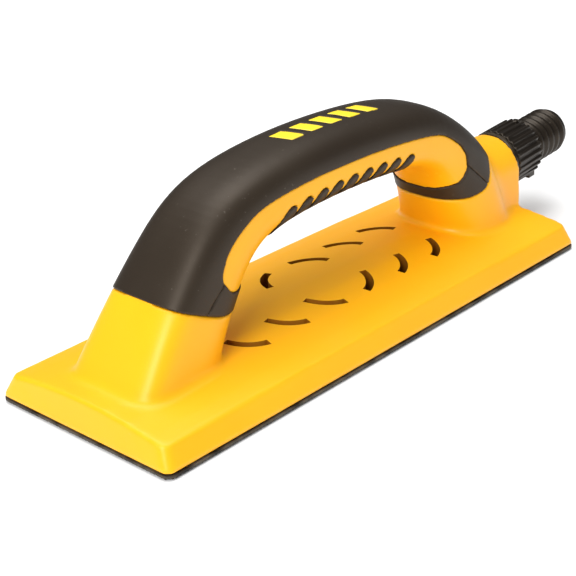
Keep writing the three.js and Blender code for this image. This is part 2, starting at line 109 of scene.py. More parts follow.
def pick(kind, test):
    """Selects the active mesh's vertices, edges or faces that pass a test."""
    mesh = bmesh.from_edit_mesh(bpy.context.object.data)
    bpy.ops.mesh.select_mode(type={"verts": "VERT", "edges": "EDGE", "faces": "FACE"}[kind])
    bpy.ops.mesh.select_all(action="DESELECT")
    chosen = 0
    for part in getattr(mesh, kind):
        if test(part):
            part.select_set(True)
            chosen += 1
    mesh.select_flush_mode()
    bmesh.update_edit_mesh(bpy.context.object.data)
    return chosen


def keep(name):
    """Names the new piece and puts its place into its mesh."""
    piece = bpy.context.object
    if bpy.context.mode != "OBJECT":
        bpy.ops.object.mode_set(mode="OBJECT")
    bpy.ops.object.transform_apply(location=True, rotation=True, scale=True)
    piece.name = name
    piece.data.name = name
    return piece


def modify(piece, kind, **settings):
    start()
    bpy.context.view_layer.objects.active = piece
    piece.select_set(True)
    bpy.ops.object.modifier_add(type=kind)
    modifier = piece.modifiers[-1]
    for setting, value in settings.items():
        setattr(modifier, setting, value)
    bpy.ops.object.modifier_apply(modifier=modifier.name)
    return piece


def cut(piece, tool, operation="DIFFERENCE", keep_tool=False):
    modify(piece, "BOOLEAN", object=tool, operation=operation, solver="MANIFOLD")
    if not keep_tool:
        bpy.data.objects.remove(tool)
    return piece


def copy_of(piece, name):
    start()
    bpy.context.view_layer.objects.active = piece
    piece.select_set(True)
    bpy.ops.object.duplicate(linked=False)
    twin = bpy.context.object
    twin.name = name
    return twin


def outwards(piece):
    edit(piece)
    bpy.ops.mesh.select_all(action="SELECT")
    bpy.ops.mesh.normals_make_consistent(inside=False)
    start()
    return piece


def soften(piece, voxel, rounds, factor=0.5):
    """Turns a cut piece into an even mesh and rounds its edges, as a mould's edges are."""
    modify(piece, "REMESH", mode="VOXEL", voxel_size=voxel * MM)
    modify(piece, "SMOOTH", factor=factor, iterations=rounds)
    bpy.ops.object.shade_smooth()
    return piece


# %% [markdown]
# Flat outlines, such as the window in the side of the handle or an air slot, are drawn as a person
# would: a single vertex extruded from corner to corner, filled, and pulled out into a slab. A smooth
# stretch is a curve through a few listed points.

# %% Outlines and slabs
def smooth_line(points, steps=6):
    """A Catmull-Rom curve through the points."""
    full = [2 * Vector(points[0]) - Vector(points[1]), *map(Vector, points)]
    full.append(2 * Vector(points[-1]) - Vector(points[-2]))
    line = []
    for a, b, c, d in zip(full, full[1:], full[2:], full[3:]):
        for step in range(steps):
            t = step / steps
            line.append(0.5 * (2 * b + (c - a) * t + (2 * a - 5 * b + 4 * c - d) * t ** 2
                               + (3 * b - a - 3 * c + d) * t ** 3))
    return [tuple(p) for p in [*line, full[-2]]]


def slab(name, corners, travel):
    """A closed outline through corners (metres), pulled along travel (metres)."""
    start()
    bpy.ops.mesh.primitive_plane_add(size=MM, location=corners[0])
    bpy.ops.object.mode_set(mode="EDIT")
    bpy.ops.mesh.select_mode(type="VERT")
    bpy.ops.mesh.select_all(action="SELECT")
    bpy.ops.mesh.merge(type="CENTER")
    for before, after in zip(corners, corners[1:]):
        bpy.ops.mesh.extrude_vertices_move(TRANSFORM_OT_translate={"value": after - before})
    bpy.ops.mesh.select_all(action="SELECT")
    bpy.ops.mesh.edge_face_add()
    bpy.ops.mesh.extrude_region_move(TRANSFORM_OT_translate={"value": travel})
    bpy.ops.mesh.select_all(action="SELECT")
    bpy.ops.mesh.normals_make_consistent(inside=False)
    return keep(name)


def side_slab(name, points, half_width=60):
    """An outline seen from the side (x, height), carried across the width."""
    return slab(name, [at(x, -half_width, z) for x, z in points], Vector((0, 2 * half_width * MM, 0)))


def plan_slab(name, points, low, high):
    """An outline seen from above (x, y), carried from one height to another."""
    return slab(name, [at(x, y, low) for x, y in points], Vector((0, 0, (high - low) * MM)))


def joined(pieces, name):
    whole = pieces[0]
    for part in pieces[1:]:
        cut(whole, part, "UNION")
    whole.name = name
    return whole


# %% [markdown]
# ## The handle's body
# Leg, bow and neck are one flowing form, so one blank serves for the base, the grips and the windows,
# and its neighbours then meet exactly. A curve with a bevel would keep one section all along, but this
# section changes from a squarish foot to a round grip. So a circle is extruded from section to section,
# and each new ring is resized, turned and made squarer or rounder before the next one.

# %% Sections of the handle from the leg's foot to the neck's foot
# Outermost point, innermost point (x, height), half width, squareness of the outer and the inner half
SECTIONS = [
    ((-108.8, 4), (-66.5, 4), 20.4, 6, 3.2),
    ((-104.8, 10.5), (-64, 10.5), 19.8, 5.6, 3.2),
    ((-97.2, 22), (-58.5, 21), 18.5, 5.2, 3),
    ((-88, 35), (-52.5, 30.5), 17.2, 4.6, 3),
    ((-77, 48.4), (-46.5, 39), 16.4, 3.8, 3.2),
    ((-67, 59), (-40.5, 44.3), 16, 3.3, 3.6),
    ((-55, 66), (-33.5, 46.9), 16, 3.1, 4),
    ((-38, 70.3), (-24, 48.3), 16, 3, 4.2),
    ((-13, 72.6), (-9, 49.2), 16, 2.9, 4.2),
    ((14, 72.4), (12, 49.3), 16, 2.9, 4.2),
    ((41.5, 70.4), (34, 47.7), 16, 2.8, 4),
    ((59, 65.7), (46, 45), 16, 2.6, 3.6),
    ((75.5, 55.9), (54, 40.5), 16.4, 2.5, 3),
    ((87.5, 46), (58.5, 34.2), 17.2, 2.4, 2.7),
    ((95.5, 36.5), (61, 27.5), 18.2, 2.4, 2.6),
    ((101, 24), (64.5, 19), 19.6, 2.4, 2.6),
    ((104.3, 10.5), (67.5, 10.5), 21.2, 2.4, 2.6),
    ((106, 4), (69, 4), 22, 2.4, 2.6),
]
RING = 48


def ring_of(section, inset):
    (outer_x, outer_z), (inner_x, inner_z), half_width, *squareness = section
    middle = at((outer_x + inner_x) / 2, 0, (outer_z + inner_z) / 2)
    reach = at(outer_x, 0, outer_z) - middle
    turn = math.atan2(reach.z, -reach.x)
    return middle, reach.length - inset * MM, turn, (half_width - inset) * MM, squareness


def handle_body(name, inset=0.0):
    rings = [ring_of(section, inset) for section in SECTIONS]
    start()
    middle, reach, turn, half_width, _ = rings[0]
    bpy.ops.mesh.primitive_circle_add(vertices=RING, radius=reach, fill_type="NGON", location=middle)
    bpy.ops.object.mode_set(mode="EDIT")
    bpy.ops.transform.resize(value=(1, half_width / reach, 1), center_override=middle)
    for before, after in zip(rings, rings[1:]):
        bpy.ops.mesh.extrude_region_move(TRANSFORM_OT_translate={"value": after[0] - before[0]})
        along = after[1] / before[1]
        bpy.ops.transform.resize(value=(along, after[3] / before[3], along), center_override=after[0])
        bpy.ops.transform.rotate(value=before[2] - after[2], orient_axis="Y", center_override=after[0])
    body = keep(name)
    square_up(body, rings)
    modify(body, "SUBSURF", levels=2, render_levels=2)
    return outwards(body)


def square_up(body, rings):
    """Pushes each ring's corners out, from an ellipse to a rounded rectangle."""
    edit(body)
    mesh = bmesh.from_edit_mesh(body.data)
    for number, (middle, reach, turn, half_width, squareness) in enumerate(rings):
        facing = Vector((-math.cos(turn), 0, math.sin(turn)))
        for corner in range(0, RING):
            mesh.verts.ensure_lookup_table()
            vertex = mesh.verts[number * RING + corner]
            offset = vertex.co - middle
            c, s = offset.dot(facing) / reach, offset.y / half_width
            power = squareness[0 if c > 0 else 1]
            push = (abs(c) ** power + abs(s) ** power) ** (-1 / power)
            if push > 1.001:
                bpy.ops.mesh.select_all(action="DESELECT")
                vertex.select_set(True)
                bpy.ops.transform.resize(value=(push, push, push), center_override=middle)
    start()


body_blank = handle_body("body_blank")
skin_blank = handle_body("skin_blank", 2.5)
window_blank = handle_body("window_blank", 0.2)
core_blank = handle_body("core_blank", 5)
print("handle body faces:", len(body_blank.data.polygons))

# %% [markdown]
# ## The yellow base
# On the real block the crowned plate, the leg, the neck and the hose port are one moulding, with a
# small fillet where they meet. They are drawn as blanks, joined, and turned into one even mesh, and the
# fillets come from smoothing only the vertices near two blanks at once. Bevelling the joints would
# break on the long curved crease between the neck and the port.

# %% The crowned plate
LENGTH, WIDTH = 230, 80
SIDE_LEAN, END_LEAN = 3.9, 2.4
CORNER_HEIGHT = 8.0


def crown(along, across):
    """Height of the vaulted top from shares (0 middle, 1 edge) along and across the plate."""
    return 13.4 - 2.2 * along ** 2 - 4.6 * across ** 2 + 1.4 * along ** 2 * across ** 2


def plate_blank():
    start()
    bpy.ops.mesh.primitive_cube_add(size=1, location=at(0, 0, CORNER_HEIGHT / 2))
    bpy.ops.transform.resize(value=(LENGTH * MM, WIDTH * MM, CORNER_HEIGHT * MM))
    plate = keep("plate_blank")
    edit(plate)
    pick("faces", lambda face: face.normal.z > 0.9)
    top = (1 - 2 * END_LEAN / LENGTH, 1 - 2 * SIDE_LEAN / WIDTH, 1)
    bpy.ops.transform.resize(value=top, center_override=at(0, 0, CORNER_HEIGHT))
    pick("edges", lambda edge: abs(edge.verts[0].co.z - edge.verts[1].co.z) > 5 * MM)
    bpy.ops.mesh.bevel(offset=3 * MM, segments=4)
    for step in range(-7, 8):
        place = at(step * LENGTH / 16, 0, 0)
        bpy.ops.mesh.select_all(action="SELECT")
        bpy.ops.mesh.bisect(plane_co=place, plane_no=(1, 0, 0))
    for step in range(-3, 4):
        place = at(0, step * WIDTH / 8, 0)
        bpy.ops.mesh.select_all(action="SELECT")
        bpy.ops.mesh.bisect(plane_co=place, plane_no=(0, 1, 0))
    start()
    return plate


def vault(plate):
    """Raises the top into its shallow vault, one set of vertices with the same shares at a time."""
    edit(plate)
    half_x, half_y = (LENGTH / 2 - END_LEAN) * MM, (WIDTH / 2 - SIDE_LEAN) * MM
    mesh = bmesh.from_edit_mesh(plate.data)
    shares = {}
    for vertex in mesh.verts:
        if vertex.co.z > rim + 0.9 * CORNER_HEIGHT * MM:
            along, across = abs(vertex.co.x) / half_x, abs(vertex.co.y) / half_y
            shares.setdefault((round(min(1, along), 3), round(min(1, across), 3)), []).append(vertex.index)
    for (along, across), members in shares.items():
        members = set(members)
        pick("verts", lambda vertex: vertex.index in members)
        rise = (crown(along, across) - CORNER_HEIGHT) * MM
        bpy.ops.transform.translate(value=(0, 0, rise))
    start()
    return plate


plate = vault(plate_blank())

# %% The grips' lower edges, seen from the side
LEG_EDGE = [(-125, 52.5), (-86, 36.5), (-74, 31.2), (-66, 28.2), (-56, 27), (-40, 26.6)]
NECK_EDGE = [(50, 28), (67, 27.6), (75, 28.1), (81, 29.8), (84, 33.5), (86.5, 38), (96, 42), (125, 52)]


def above_edges(name, shift=0.0):
    line = [*smooth_line(LEG_EDGE[1:], 3), *smooth_line(NECK_EDGE[:-1], 3)]
    line = [LEG_EDGE[0], *line, NECK_EDGE[-1]]
    return side_slab(name, [*((x, z + shift) for x, z in line), (125, 120), (-125, 120)])


def port_block():
    """The round-topped block round the hose port, square to the connector's axis behind."""
    arc = [math.radians(angle) for angle in range(0, 181, 10)]
    top = [(14 * math.cos(a), 24.9 + 14 * math.sin(a)) for a in arc]
    outline = [(14.6, 4), *top, (-14.6, 4)]
    block = slab("port_block", [at(84, y, z) for y, z in outline], Vector((40 * MM, 0, 0)))
    start()
    bpy.ops.mesh.primitive_cube_add(size=80 * MM, location=(40 * MM, 0, 0))
    behind = keep("behind")
    place_on_axis(behind)
    return cut(block, behind)


# %% The connector's axis, from the frame's swivel joint
swivel = next(joint for joint in frame["joints"] if joint["name"] == "hose_swivel")
axis_start = Vector(swivel["pos_m"])
axis_direction = Vector(swivel["axis"]).normalized()
axis_turn = Matrix.Translation(axis_start) @ axis_direction.to_track_quat("X", "Z").to_matrix().to_4x4()
print("connector axis starts at", [round(v / MM, 1) for v in axis_start])
print("connector axis points along", [round(v, 3) for v in axis_direction])


def place_on_axis(piece):
    """Moves a piece built along +X from the origin onto the connector's axis."""
    start()
    bpy.context.view_layer.objects.active = piece
    piece.select_set(True)
    piece.matrix_world = axis_turn
    bpy.ops.object.transform_apply(location=True, rotation=True, scale=True)
    return piece


# %% Join the blanks and round the fillets
def fillet(piece, first, second, reach, rounds):
    """Smooths the vertices of piece that lie within reach of both blanks."""
    trees = []
    for blank in (first, second):
        corners = [vertex.co for vertex in blank.data.vertices]
        trees.append(BVHTree.FromPolygons(corners, [face.vertices for face in blank.data.polygons]))
    edit(piece)
    chosen = pick("verts", lambda vertex: all(tree.find_nearest(vertex.co)[3] < reach * MM for tree in trees))
    bpy.ops.mesh.vertices_smooth(factor=0.5, repeat=rounds)
    start()
    print("fillet vertices:", chosen)


BASE_VOXEL = 0.8
CREASE_REACH, CREASE_ROUNDS = 4.5, 60
FOOT_REACH, FOOT_ROUNDS = 2.2, 16

port = port_block()
lower_body = cut(copy_of(body_blank, "lower_body"), above_edges("above"))
base = joined([copy_of(plate, "base"), copy_of(lower_body, "a"), copy_of(port, "b")], "base_moulding")
modify(base, "REMESH", mode="VOXEL", voxel_size=BASE_VOXEL * MM)
fillet(base, lower_body, port, CREASE_REACH, CREASE_ROUNDS)
fillet(base, plate, lower_body, FOOT_REACH, FOOT_ROUNDS)
fillet(base, plate, port, FOOT_REACH, FOOT_ROUNDS)

# %% [markdown]
# The twelve air slots are arcs that lie at 45 degrees in each quarter of the top. They are cut from one
# outline, repeated by place. Their rims are crisp on the real moulding, where the mould's two halves
# shut off, so they are cut last, after the even mesh. The hollow inside is cut from coarse blanks,
# because nothing there shows except the walls of the slots.

# %% Air slots
SLOT_COLUMNS = (12.4, 32.8, 53.1)
SLOT_ROW = 14.75
SLOT_RADIUS, SLOT_WIDTH, SLOT_SPAN = 14.8, 3, 60


def slot_outline(x, y, grow):
    middle = math.atan2(math.copysign(1, y), math.copysign(1, x))
    centre = (x - SLOT_RADIUS * math.cos(middle), y - SLOT_RADIUS * math.sin(middle))
    half = math.radians(SLOT_SPAN / 2) + grow / SLOT_RADIUS
    turns = [middle + half * step / 6 for step in range(-6, 7)]
    outer = [(SLOT_RADIUS + SLOT_WIDTH / 2 + grow, turn) for turn in turns]
    inner = [(SLOT_RADIUS - SLOT_WIDTH / 2 - grow, turn) for turn in reversed(turns)]
    return [(centre[0] + r * math.cos(t), centre[1] + r * math.sin(t)) for r, t in [*outer, *inner]]


def slot_slabs(name, grow, low, high):
    places = [(side * x, end * SLOT_ROW) for x in SLOT_COLUMNS for side in (1, -1) for end in (1, -1)]
    slabs = [plan_slab("slot", slot_outline(x, y, grow), low, high) for x, y in places]
    return joined(slabs, name)


def near_slot(x, y, reach):
    """True within reach of an air slot, in plan."""
    middle = math.radians(45)
    for column in SLOT_COLUMNS:
        dx = abs(x) - column + SLOT_RADIUS * math.cos(middle)
        dy = abs(y) - SLOT_ROW + SLOT_RADIUS * math.sin(middle)
        past_end = abs(math.atan2(dy, dx) - middle) - math.radians(SLOT_SPAN / 2)
        aside = abs(math.hypot(dx, dy) - SLOT_RADIUS) - SLOT_WIDTH / 2
        if aside < reach and past_end * SLOT_RADIUS < reach:
            return True
    return False


soften(base, BASE_VOXEL, 2)
modify(base, "DECIMATE", ratio=0.72)

# %% Hollow of the base
CHIMNEY_WALL = 1.4
RECESS_TOP = 4.4


def box(name, low, high):
    start()
    bpy.ops.mesh.primitive_cube_add(size=1, location=(at(*low) + at(*high)) / 2)
    bpy.ops.transform.resize(value=at(*high) - at(*low))
    return keep(name)


low_space = box("low_space", (-103, -29, 3), (103, 29, 6))
high_space = box("high_space", (-98, -20, 3), (98, 20, 9.6))
plenum = joined([low_space, high_space], "plenum")
cut(base, cut(plenum, slot_slabs("chimneys", CHIMNEY_WALL, 0, 12)))
recess = box("recess", (-112.5, -37.5, -1), (112.5, 37.5, RECESS_TOP))
edit(recess)
pick("edges", lambda edge: abs(edge.verts[0].co.z - edge.verts[1].co.z) > MM)
bpy.ops.mesh.bevel(offset=4 * MM, segments=6)
start()
cut(base, recess)
cut(base, cut(copy_of(skin_blank, "leg_space"), box("foot", (-130, -40, -10), (130, 40, 6))))
print("base faces:", len(base.data.polygons))

# %% [markdown]
# The port has a bore for the connector's sleeve. After it, the moulding is complete, so it rides on the
# block's body and stands for the three simple solids of the frame that share its space.

# %% Bore of the hose port
def bar(name, along, radius, length, sides=48):
    """A round bar on the connector's axis, from along over length."""
    start()
    bpy.ops.mesh.primitive_cylinder_add(vertices=sides, radius=radius * MM, depth=length * MM,
                                        location=((along + length / 2) * MM, 0, 0),
                                        rotation=(0, math.radians(90), 0))
    return place_on_axis(keep(name))


cut(base, bar("bore", -20, 9.7, 30))
cut(base, slot_slabs("slots", 0, -5, 30))


def finish_piece(piece, body, slot, *replaced):
    """Rides a finished piece on its body and hides the frame's parts that it stands for."""
    outwards(piece)
    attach(piece, body)
    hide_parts(*replaced)
    print(piece.name, "faces:", len(piece.data.polygons))


start()
base.select_set(True)
bpy.context.view_layer.objects.active = base
bpy.ops.object.shade_smooth_by_angle(angle=math.radians(50))
finish_piece(base, "block", "yellow_plastic", "base_housing", "front_leg", "rear_neck")

# %% [markdown]
# ## The soft grips and the yellow windows
# The grips are moulded over a hard shell, and the shell shows yellow through a long window in each side.
# All of them are cut from the handle's blank with outlines seen from the side. A cut in a curved surface
# leaves knife-sharp corners, so each solid is remeshed finely and relaxed, which gives the rolled lips
# and the thin shadow line between two materials. Its inside is removed afterwards with a smaller blank.

# %% Window outline
WINDOW_TOP = [(-62, 35.6), (-65, 41), (-61.4, 48.1), (-54.5, 53.8), (-43.3, 58.6), (-21, 61), (5, 61.4),
              (31, 60.2), (52, 57.4), (63, 51.7), (68, 46.5), (69.2, 42), (68.6, 38.8), (66, 35.4),
              (62, 33.7)]
WINDOW_BOTTOM = [(59.5, 32.3), (45, 31), (0, 20), (-36, 34), (-52, 34), (-58, 33.9), (-60.8, 34.6)]


def grown(points, grow):
    """The outline with its corners moved outwards."""
    loop = [Vector(p) for p in points]
    after = loop[1:] + loop[:1]
    area = sum(a.x * b.y - b.x * a.y for a, b in zip(loop, after))
    moved = []
    for previous, corner, following in zip(loop[-1:] + loop[:-1], loop, after):
        along = (corner - previous).normalized() + (following - corner).normalized()
        moved.append(corner + Vector((along.y, -along.x)).normalized() * math.copysign(grow, area))
    return [tuple(p) for p in moved]


def window(name, grow):
    return side_slab(name, grown([*smooth_line(WINDOW_TOP, 4), *WINDOW_BOTTOM], grow))


# %% Strip and fingers of the palm grip, inside the windows
FINGERS = 9
FINGER_FIRST, FINGER_PITCH = -29.6, 8.1
STRIP_FRONT = -39
STRIP_END = 38
STRIP_HALF_WIDTH, FINGER_BED_HALF_WIDTH = 6, 11
FINGER_SHAPE = [(2.0, -1.3), (1.2, -2.8), (-0.3, -4.3), (-2.0, -5.7), (-4.2, -7.1), (-5.6, -9),
                (-13, -9), (-10.6, -6.8), (-7.6, -5.5), (-5.4, -3.9), (-3.6, -2.1), (-2.0, -0.6),
                (-0.5, 0.2), (1.0, 0.2), (1.9, -0.4)]


def finger_outline(number):
    """A comma leaning towards the neck. The row of tips follows the bow."""
    tip_x = FINGER_FIRST + number * FINGER_PITCH
    tip_z = 56.2 - (tip_x - 3) ** 2 / 530
    return [(tip_x + x, tip_z + z) for x, z in FINGER_SHAPE]


def strip_area(name, grow):
    """The narrow strip from the leg, and the bed under the bow with its fingers, made larger by grow."""
    bed_side, strip_side = FINGER_BED_HALF_WIDTH + grow, STRIP_HALF_WIDTH + grow
    bed = [box("bed", (-STRIP_END - grow, -bed_side, 20), (STRIP_END + grow, bed_side, 58))]
    for number in range(FINGERS):
        bed.append(side_slab("finger", grown(finger_outline(number), grow), 30))
    bed = cut(joined(bed, "bed"), box("before", (-60, -40, 0), (STRIP_FRONT - grow, 40, 80)))
    return joined([bed, box("narrow", (-75, -strip_side, 20), (STRIP_END, strip_side, 58))], name)


# %% Yellow shell in the windows
shell_blank = handle_body("shell_blank", 2.8)
yellow_shell = cut(copy_of(window_blank, "handle_shell"), window("opening", -0.2), "INTERSECT")
cut(yellow_shell, cut(strip_area("pocket", 0.2), shell_blank, keep_tool=True))
soften(yellow_shell, 0.4, 5)
modify(yellow_shell, "DECIMATE", ratio=0.6)
cut(yellow_shell, core_blank, keep_tool=True)
finish_piece(yellow_shell, "block", "yellow_plastic", "handle_lower_shell")

# %% [markdown]
# The palm grip wraps the back of the leg and runs as a strip with nine fingers under the bow. A band
# closes the grip round the neck, and the top grip is the rest. All three use a slightly larger blank
# than the yellow parts, because the soft skin stands a little proud of the hard plastic at every seam.

# %% Palm grip
LEG_PALM_SIDE = [(-74, 31.2), (-64.6, 38.8), (-40, 38.8), (-40, 10), (-74, 10)]
NECK_PALM_SIDE = [(68.8, 41.5), (82.5, 29.5), (82.5, 10), (40, 10), (40, 41.5)]
SEAM = 0.15

grip_blank = cut(handle_body("grip_blank", -0.3), above_edges("above"), "INTERSECT")
around = cut(copy_of(grip_blank, "around"), window("opening", 0.15))
sides = cut(copy_of(around, "sides"), side_slab("leg_side", grown(LEG_PALM_SIDE, -SEAM)), "INTERSECT")
strip = cut(copy_of(grip_blank, "strip"), window("opening", 0.6), "INTERSECT")
cut(strip, strip_area("strip_area", 0), "INTERSECT")
cut(strip, side_slab("reach", [(-66, 32), (-40, 60), (60, 60), (70, 32)]), "INTERSECT")
palm = joined([sides, strip], "palm_grip_skin")
soften(palm, 0.4, 4)
modify(palm, "DECIMATE", ratio=0.6)
cut(palm, skin_blank, keep_tool=True)
finish_piece(palm, "block", "grip_rubber", "palm_grip")

# %% Band round the neck
band = cut(copy_of(around, "neck_band_skin"), side_slab("neck_side", grown(NECK_PALM_SIDE, -SEAM)),
           "INTERSECT")
soften(band, 0.4, 4)
modify(band, "DECIMATE", ratio=0.6)
cut(band, skin_blank, keep_tool=True)
finish_piece(band, "block", "grip_rubber", "neck_band")

# %% Top grip with pockets for the inlays
INLAYS, INLAY_START, INLAY_PITCH = 5, -15, 10.2
INLAY_WIDTH, INLAY_LENGTH, INLAY_SLANT, INLAY_DEPTH = 6, 8.6, 2.4, 0.8
INLAY_LOW, INLAY_HIGH = 64, 90


def inlay_slab(name, number, grow):
    x = INLAY_START + number * INLAY_PITCH
    half_width, half_length = INLAY_WIDTH / 2 + grow, INLAY_LENGTH / 2 + grow
    corners = [(x + side * half_width - end * INLAY_SLANT / 2, end * half_length)
               for side, end in ((-1, -1), (1, -1), (1, 1), (-1, 1))]
    return plan_slab(name, corners, INLAY_LOW, INLAY_HIGH)


top = cut(around, side_slab("leg_side", grown(LEG_PALM_SIDE, SEAM)))
cut(top, side_slab("neck_side", grown(NECK_PALM_SIDE, SEAM)))
top.name = "top_grip_skin"
pocket_floor = handle_body("pocket_floor", INLAY_DEPTH)
pockets = joined([inlay_slab("pocket", number, 0.2) for number in range(INLAYS)], "pockets")
cut(top, cut(pockets, pocket_floor))
soften(top, 0.45, 5)
modify(top, "DECIMATE", ratio=0.5)
cut(top, skin_blank, keep_tool=True)
finish_piece(top, "block", "grip_rubber", "top_grip")

# %% [markdown]
# Five slanted bars are moulded into the crest of the grip, flush with it. Each is the same small solid:
# the handle's own surface cut out by a slanted outline, with its rim rounded like the rest.

# %% Inlays
inlay_floor = handle_body("inlay_floor", INLAY_DEPTH - 0.1)
for number in range(INLAYS):
    surface = handle_body("surface", -0.2)
    inlay = cut(surface, inlay_slab("bar", number, 0), "INTERSECT")
    cut(inlay, inlay_floor, keep_tool=True)
    cut(inlay, box("underside", (-60, -30, 30), (60, 30, 65)))
    inlay.name = f"inlay_bar_{number + 1}"
    soften(inlay, 0.22, 2)
    finish_piece(inlay, "block", "yellow_plastic", f"grip_inlay_{number + 1}")

for blank in (body_blank, skin_blank, window_blank, core_blank, shell_blank, grip_blank, inlay_floor,
              plate, lower_body, port):
    bpy.data.objects.remove(blank)

# %% [markdown]
# ## The hook pad
# The pad is a thin sheet with a field of tiny moulded hooks that grips the abrasive. One hook is a
# tapered stub made from a cube, and two arrays repeat it in rows. Hooks over the holes and slots are
# deleted, so the air can pass. The sheet itself gets round holes with more sides than the frame's.

# %% Sheet with holes
PAD_LENGTH, PAD_WIDTH, PAD_THICKNESS = 229.4, 79.4, 1.5
SHEET_LOW = 0.7
HOLES = [(x, y) for x in range(-99, 100, 22) for y in (-28, 0, 28)]
HOLES += [(x, y) for x in (-99, -77, 77, 99) for y in (-SLOT_ROW, SLOT_ROW)]
pad_high = PAD_THICKNESS - rim / MM
pad_low = SHEET_LOW - rim / MM
sheet = box("pad", (-PAD_LENGTH / 2, -PAD_WIDTH / 2, pad_low), (PAD_LENGTH / 2, PAD_WIDTH / 2, pad_high))
edit(sheet)
pick("edges", lambda edge: abs(edge.verts[0].co.z - edge.verts[1].co.z) > 0.5 * MM)
bpy.ops.mesh.bevel(offset=3.4 * MM, segments=6)
start()
punches = []
for x, y in HOLES:
    start()
    bpy.ops.mesh.primitive_cylinder_add(vertices=32, radius=3 * MM, depth=10 * MM, location=at(x, y, 0))
    punches.append(keep("punch"))
cut(sheet, joined(punches, "punches"))
cut(sheet, slot_slabs("slots", 0.2, -10, 10))

# %% Rows of hooks
HOOK_PITCH, HOOK_SIZE = 1.55, 0.8
rows = int((PAD_WIDTH - 1.2) / HOOK_PITCH) + 1
columns = int((PAD_LENGTH - 1.2) / HOOK_PITCH) + 1
first = at(-(columns - 1) / 2 * HOOK_PITCH, -(rows - 1) / 2 * HOOK_PITCH, (SHEET_LOW / 2 - rim / MM) + 0.05)
start()
bpy.ops.mesh.primitive_cube_add(size=1, location=first)
bpy.ops.transform.resize(value=(HOOK_SIZE * MM, HOOK_SIZE * MM, (SHEET_LOW + 0.1) * MM))
hooks = keep("hooks")
edit(hooks)
pick("faces", lambda face: face.normal.z < -0.9)
bpy.ops.transform.resize(value=(0.6, 0.6, 1), center_override=first)
bpy.ops.transform.translate(value=(0.12 * MM, 0, 0))
start()
modify(hooks, "ARRAY", count=columns, use_relative_offset=False, use_constant_offset=True,
       constant_offset_displace=(HOOK_PITCH * MM, 0, 0))
modify(hooks, "ARRAY", count=rows, use_relative_offset=False, use_constant_offset=True,
       constant_offset_displace=(0, HOOK_PITCH * MM, 0))


def hook_centre(co):
    """The middle of the hook that a point belongs to, in millimetres."""
    column = round((co.x - first.x) / (HOOK_PITCH * MM))
    row = round((co.y - first.y) / (HOOK_PITCH * MM))
    return first.x / MM + column * HOOK_PITCH, first.y / MM + row * HOOK_PITCH


def over_opening(vertex):
    x, y = hook_centre(vertex.co)
    if any(math.hypot(x - hole_x, y - hole_y) < 3.7 for hole_x, hole_y in HOLES):
        return True
    if math.hypot(max(0, abs(x) - PAD_LENGTH / 2 + 3.4), max(0, abs(y) - PAD_WIDTH / 2 + 3.4)) > 2.8:
        return True
    return near_slot(x, y, 0.7)


edit(hooks)
pick("verts", over_opening)
bpy.ops.mesh.delete(type="VERT")
start()
hooks.select_set(True)
sheet.select_set(True)
bpy.context.view_layer.objects.active = sheet
bpy.ops.object.join()
sheet.name = "hook_sheet"
finish_piece(sheet, "block", "hook_fabric", "hook_pad")

# %% [markdown]
# ## The hose connector
# Its parts are turned shapes on one tilted axis, so each is drawn as a half profile, spun round the X
# axis at the origin, and then placed on the joint's axis from the frame. Grip ribs, a lug, a tooth and
# the pointer are added to the turned collar as solids, a window is cut in it, and a fine remesh rounds
# the collar.

# %% Turned shapes
def turned(name, profile, steps=96):
    """Spins a closed profile of (distance along the axis, radius) round the X axis."""
    points = [Vector((along * MM, 0, radius * MM)) for along, radius in profile]
    start()
    bpy.ops.mesh.primitive_plane_add(size=MM, location=points[0])
    bpy.ops.object.mode_set(mode="EDIT")
    bpy.ops.mesh.select_mode(type="VERT")
    bpy.ops.mesh.select_all(action="SELECT")
    bpy.ops.mesh.merge(type="CENTER")
    for before, after in zip(points, [*points[1:], points[0]]):
        bpy.ops.mesh.extrude_vertices_move(TRANSFORM_OT_translate={"value": after - before})
    bpy.ops.mesh.select_all(action="SELECT")
    bpy.ops.mesh.remove_doubles(threshold=1e-6)
    bpy.ops.mesh.select_all(action="SELECT")
    bpy.ops.mesh.spin(steps=steps, angle=2 * math.pi, center=(0, 0, 0), axis=(1, 0, 0))
    bpy.ops.mesh.select_all(action="SELECT")
    bpy.ops.mesh.remove_doubles(threshold=1e-6)
    bpy.ops.mesh.normals_make_consistent(inside=False)
    return keep(name)


def local_box(name, low, high):
    low, high = Vector(low) * MM, Vector(high) * MM
    start()
    bpy.ops.mesh.primitive_cube_add(size=1, location=(low + high) / 2)
    bpy.ops.transform.resize(value=high - low)
    return keep(name)


# %% Port sleeve
sleeve = turned("hose_port_sleeve", [
    (-12, 8.8), (-12, 9.4), (0.3, 9.4), (0.3, 11.9), (0.7, 12.3), (1.9, 12.3), (2.3, 11.9), (2.3, 10),
    (5.2, 10), (5.2, 9), (7.2, 9), (7.2, 10), (16, 10), (16.4, 9.6), (16.4, 7.6), (7, 7.6), (7, 8.8)])
cut(sleeve, local_box("bleed", (9.6, -5, -20), (14, 5, 0)))
place_on_axis(sleeve)
start()
sleeve.select_set(True)
bpy.context.view_layer.objects.active = sleeve
bpy.ops.object.shade_smooth_by_angle(angle=math.radians(35))
finish_piece(sleeve, "block", "black_plastic", "port_sleeve")

